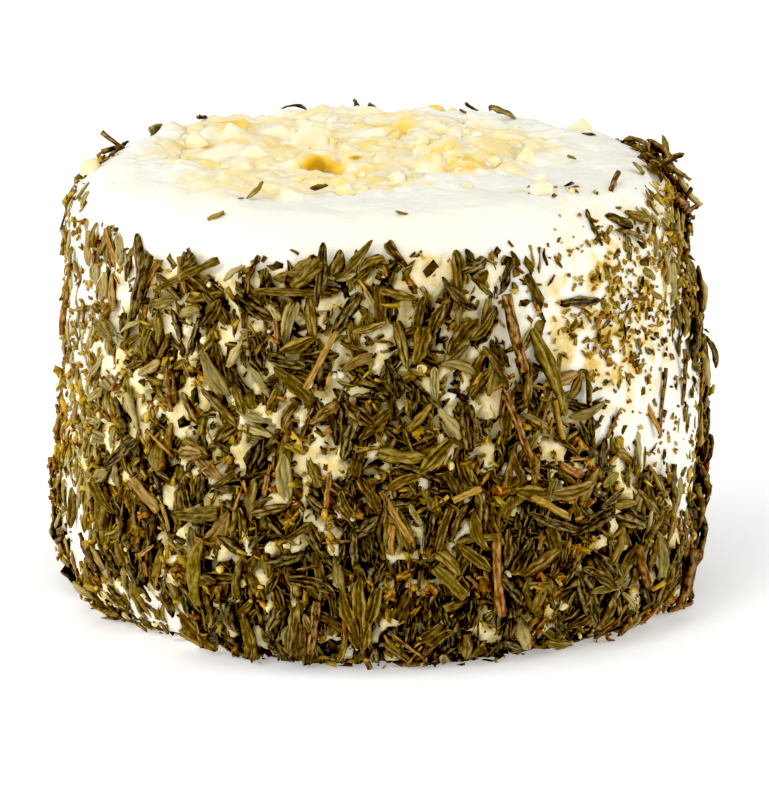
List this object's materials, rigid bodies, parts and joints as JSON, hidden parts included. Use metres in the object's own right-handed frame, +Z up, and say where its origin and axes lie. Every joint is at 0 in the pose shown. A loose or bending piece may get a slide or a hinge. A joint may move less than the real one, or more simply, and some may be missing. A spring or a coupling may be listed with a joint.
{
  "type": "honey thyme goat cheese",
  "caption": "Small upright button of fresh goat cheese, its side crusted with dried thyme and its hollow top filled with crystallised honey.",
  "frame": {"origin": "centre of the flat underside, on the surface the cheese stands on", "axes": "+Z up through the button, -Y towards the side shown in the picture, +X to the right seen from there"},
  "size_m": [0.0599, 0.061, 0.0417],
  "materials": {
    "cheese": "soft white fresh curd, crusted round its side with olive and brown dried thyme",
    "honey": "pale yellow crystallised honey, granular and moist"
  },
  "bodies": {
    "root": {"cheese": "cheese", "honey": "honey"}
  },
  "joints": []
}
